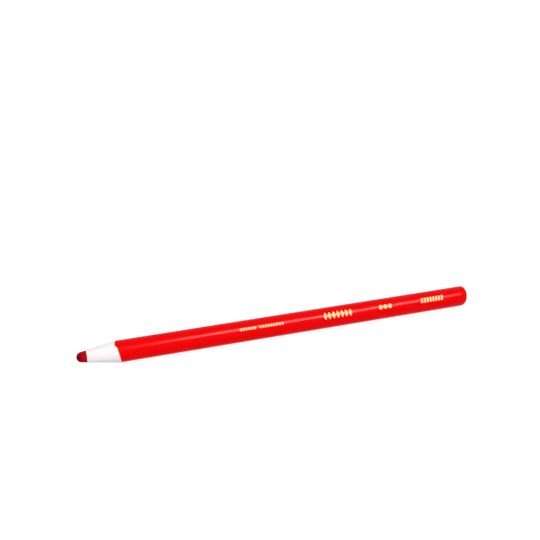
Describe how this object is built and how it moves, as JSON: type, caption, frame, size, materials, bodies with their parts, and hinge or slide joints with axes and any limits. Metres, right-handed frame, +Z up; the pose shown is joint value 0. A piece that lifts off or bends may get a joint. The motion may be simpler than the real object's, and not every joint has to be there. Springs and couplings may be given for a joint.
{
  "type": "china marker",
  "caption": "Round wax marker: a dark red wax core in a red-covered paper wrap that peels off in short sections, with a sharpened white paper nose and a closed tail.",
  "frame": {"origin": "middle of the marker's length, on the surface it lies on, straight below its axis", "axes": "+X along the marker from the wax point to the tail, +Z up from the surface it lies on"},
  "size_m": [0.17, 0.0086, 0.0086],
  "materials": {
    "wax": "satin",
    "thread": "matte",
    "wound_paper": "matte",
    "red_cover": "gloss",
    "red_dip": "gloss"
  },
  "bodies": {
    "core_and_tail": {"wax_core": "wax", "pull_string": "thread", "tail_roll": "wound_paper", "tail_cover": "red_cover", "end_dip": "red_dip"},
    "nose": {"nose_roll": "wound_paper", "nose_cover": "red_cover"},
    "section_01": {"paper_roll_01": "wound_paper", "cover_band_01": "red_cover"},
    "section_02": {"paper_roll_02": "wound_paper", "cover_band_02": "red_cover"},
    "section_03": {"paper_roll_03": "wound_paper", "cover_band_03": "red_cover"},
    "section_04": {"paper_roll_04": "wound_paper", "cover_band_04": "red_cover"},
    "section_05": {"paper_roll_05": "wound_paper", "cover_band_05": "red_cover"},
    "section_06": {"paper_roll_06": "wound_paper", "cover_band_06": "red_cover"},
    "section_07": {"paper_roll_07": "wound_paper", "cover_band_07": "red_cover"},
    "section_08": {"paper_roll_08": "wound_paper", "cover_band_08": "red_cover"},
    "section_09": {"paper_roll_09": "wound_paper", "cover_band_09": "red_cover"},
    "section_10": {"paper_roll_10": "wound_paper", "cover_band_10": "red_cover"},
    "section_11": {"paper_roll_11": "wound_paper", "cover_band_11": "red_cover"},
    "section_12": {"paper_roll_12": "wound_paper", "cover_band_12": "red_cover"},
    "section_13": {"paper_roll_13": "wound_paper", "cover_band_13": "red_cover"},
    "section_14": {"paper_roll_14": "wound_paper", "cover_band_14": "red_cover"}
  },
  "joints": [
    {"name": "section_14_peel", "type": "slide", "parent": "core_and_tail", "child": "section_14", "axis": [-1, 0, 0], "range_m": [0, 0.027]},
    {"name": "section_13_peel", "type": "slide", "parent": "section_14", "child": "section_13", "axis": [-1, 0, 0], "range_m": [0, 0.027]},
    {"name": "section_12_peel", "type": "slide", "parent": "section_13", "child": "section_12", "axis": [-1, 0, 0], "range_m": [0, 0.027]},
    {"name": "section_11_peel", "type": "slide", "parent": "section_12", "child": "section_11", "axis": [-1, 0, 0], "range_m": [0, 0.027]},
    {"name": "section_10_peel", "type": "slide", "parent": "section_11", "child": "section_10", "axis": [-1, 0, 0], "range_m": [0, 0.027]},
    {"name": "section_09_peel", "type": "slide", "parent": "section_10", "child": "section_09", "axis": [-1, 0, 0], "range_m": [0, 0.027]},
    {"name": "section_08_peel", "type": "slide", "parent": "section_09", "child": "section_08", "axis": [-1, 0, 0], "range_m": [0, 0.027]},
    {"name": "section_07_peel", "type": "slide", "parent": "section_08", "child": "section_07", "axis": [-1, 0, 0], "range_m": [0, 0.027]},
    {"name": "section_06_peel", "type": "slide", "parent": "section_07", "child": "section_06", "axis": [-1, 0, 0], "range_m": [0, 0.027]},
    {"name": "section_05_peel", "type": "slide", "parent": "section_06", "child": "section_05", "axis": [-1, 0, 0], "range_m": [0, 0.027]},
    {"name": "section_04_peel", "type": "slide", "parent": "section_05", "child": "section_04", "axis": [-1, 0, 0], "range_m": [0, 0.027]},
    {"name": "section_03_peel", "type": "slide", "parent": "section_04", "child": "section_03", "axis": [-1, 0, 0], "range_m": [0, 0.027]},
    {"name": "section_02_peel", "type": "slide", "parent": "section_03", "child": "section_02", "axis": [-1, 0, 0], "range_m": [0, 0.027]},
    {"name": "section_01_peel", "type": "slide", "parent": "section_02", "child": "section_01", "axis": [-1, 0, 0], "range_m": [0, 0.027]},
    {"name": "nose_peel", "type": "slide", "parent": "section_01", "child": "nose", "axis": [-1, 0, 0], "range_m": [0, 0.027]}
  ]
}
